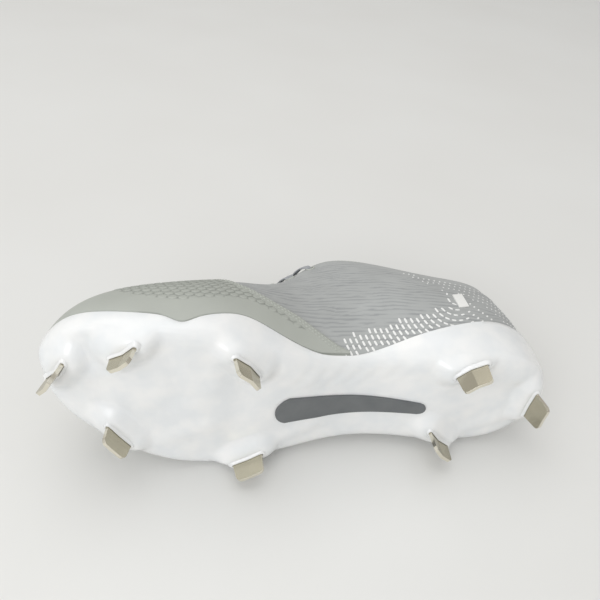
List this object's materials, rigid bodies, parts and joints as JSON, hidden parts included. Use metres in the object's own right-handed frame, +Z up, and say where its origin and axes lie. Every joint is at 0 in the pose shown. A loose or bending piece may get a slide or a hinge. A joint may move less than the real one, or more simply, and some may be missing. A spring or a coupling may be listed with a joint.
{
  "type": "baseball cleat",
  "caption": "Low right-foot baseball cleat with a moulded sole, bent steel blades, a textile upper, toe guard, tongue and lace, lying on its outer side.",
  "frame": {"origin": "centre of the footprint box, on the ground the shoe lies on", "axes": "-X towards the toe, -Y towards what the sole faces, +Z up, towards the inner side of the foot"},
  "size_m": [0.2984, 0.145, 0.1067],
  "materials": {
    "outsole_plate": "glossy white moulded plastic",
    "shank_inlay": "satin dark grey plastic",
    "upper": "cool grey textile with a fine moulded skin",
    "toe_overlay": "satin warm grey moulded film",
    "tongue": "cool grey padded textile",
    "insole": "grey footbed cloth",
    "lace": "grey flat woven lace",
    "spikes": "nickel plated steel, polished at the edges"
  },
  "bodies": {
    "root": {"outsole_plate": "outsole_plate", "shank_inlay": "shank_inlay", "upper": "upper", "toe_overlay": "toe_overlay", "tongue": "tongue", "insole": "insole", "lace_1": "lace", "lace_2": "lace", "lace_3": "lace", "lace_4": "lace", "lace_5": "lace", "spike_toe": "spikes", "spike_inner_front": "spikes", "spike_inner_ball": "spikes", "spike_outer_front": "spikes", "spike_outer_ball": "spikes", "spike_heel_inner": "spikes", "spike_heel_outer": "spikes", "spike_heel_back": "spikes"}
  },
  "joints": []
}
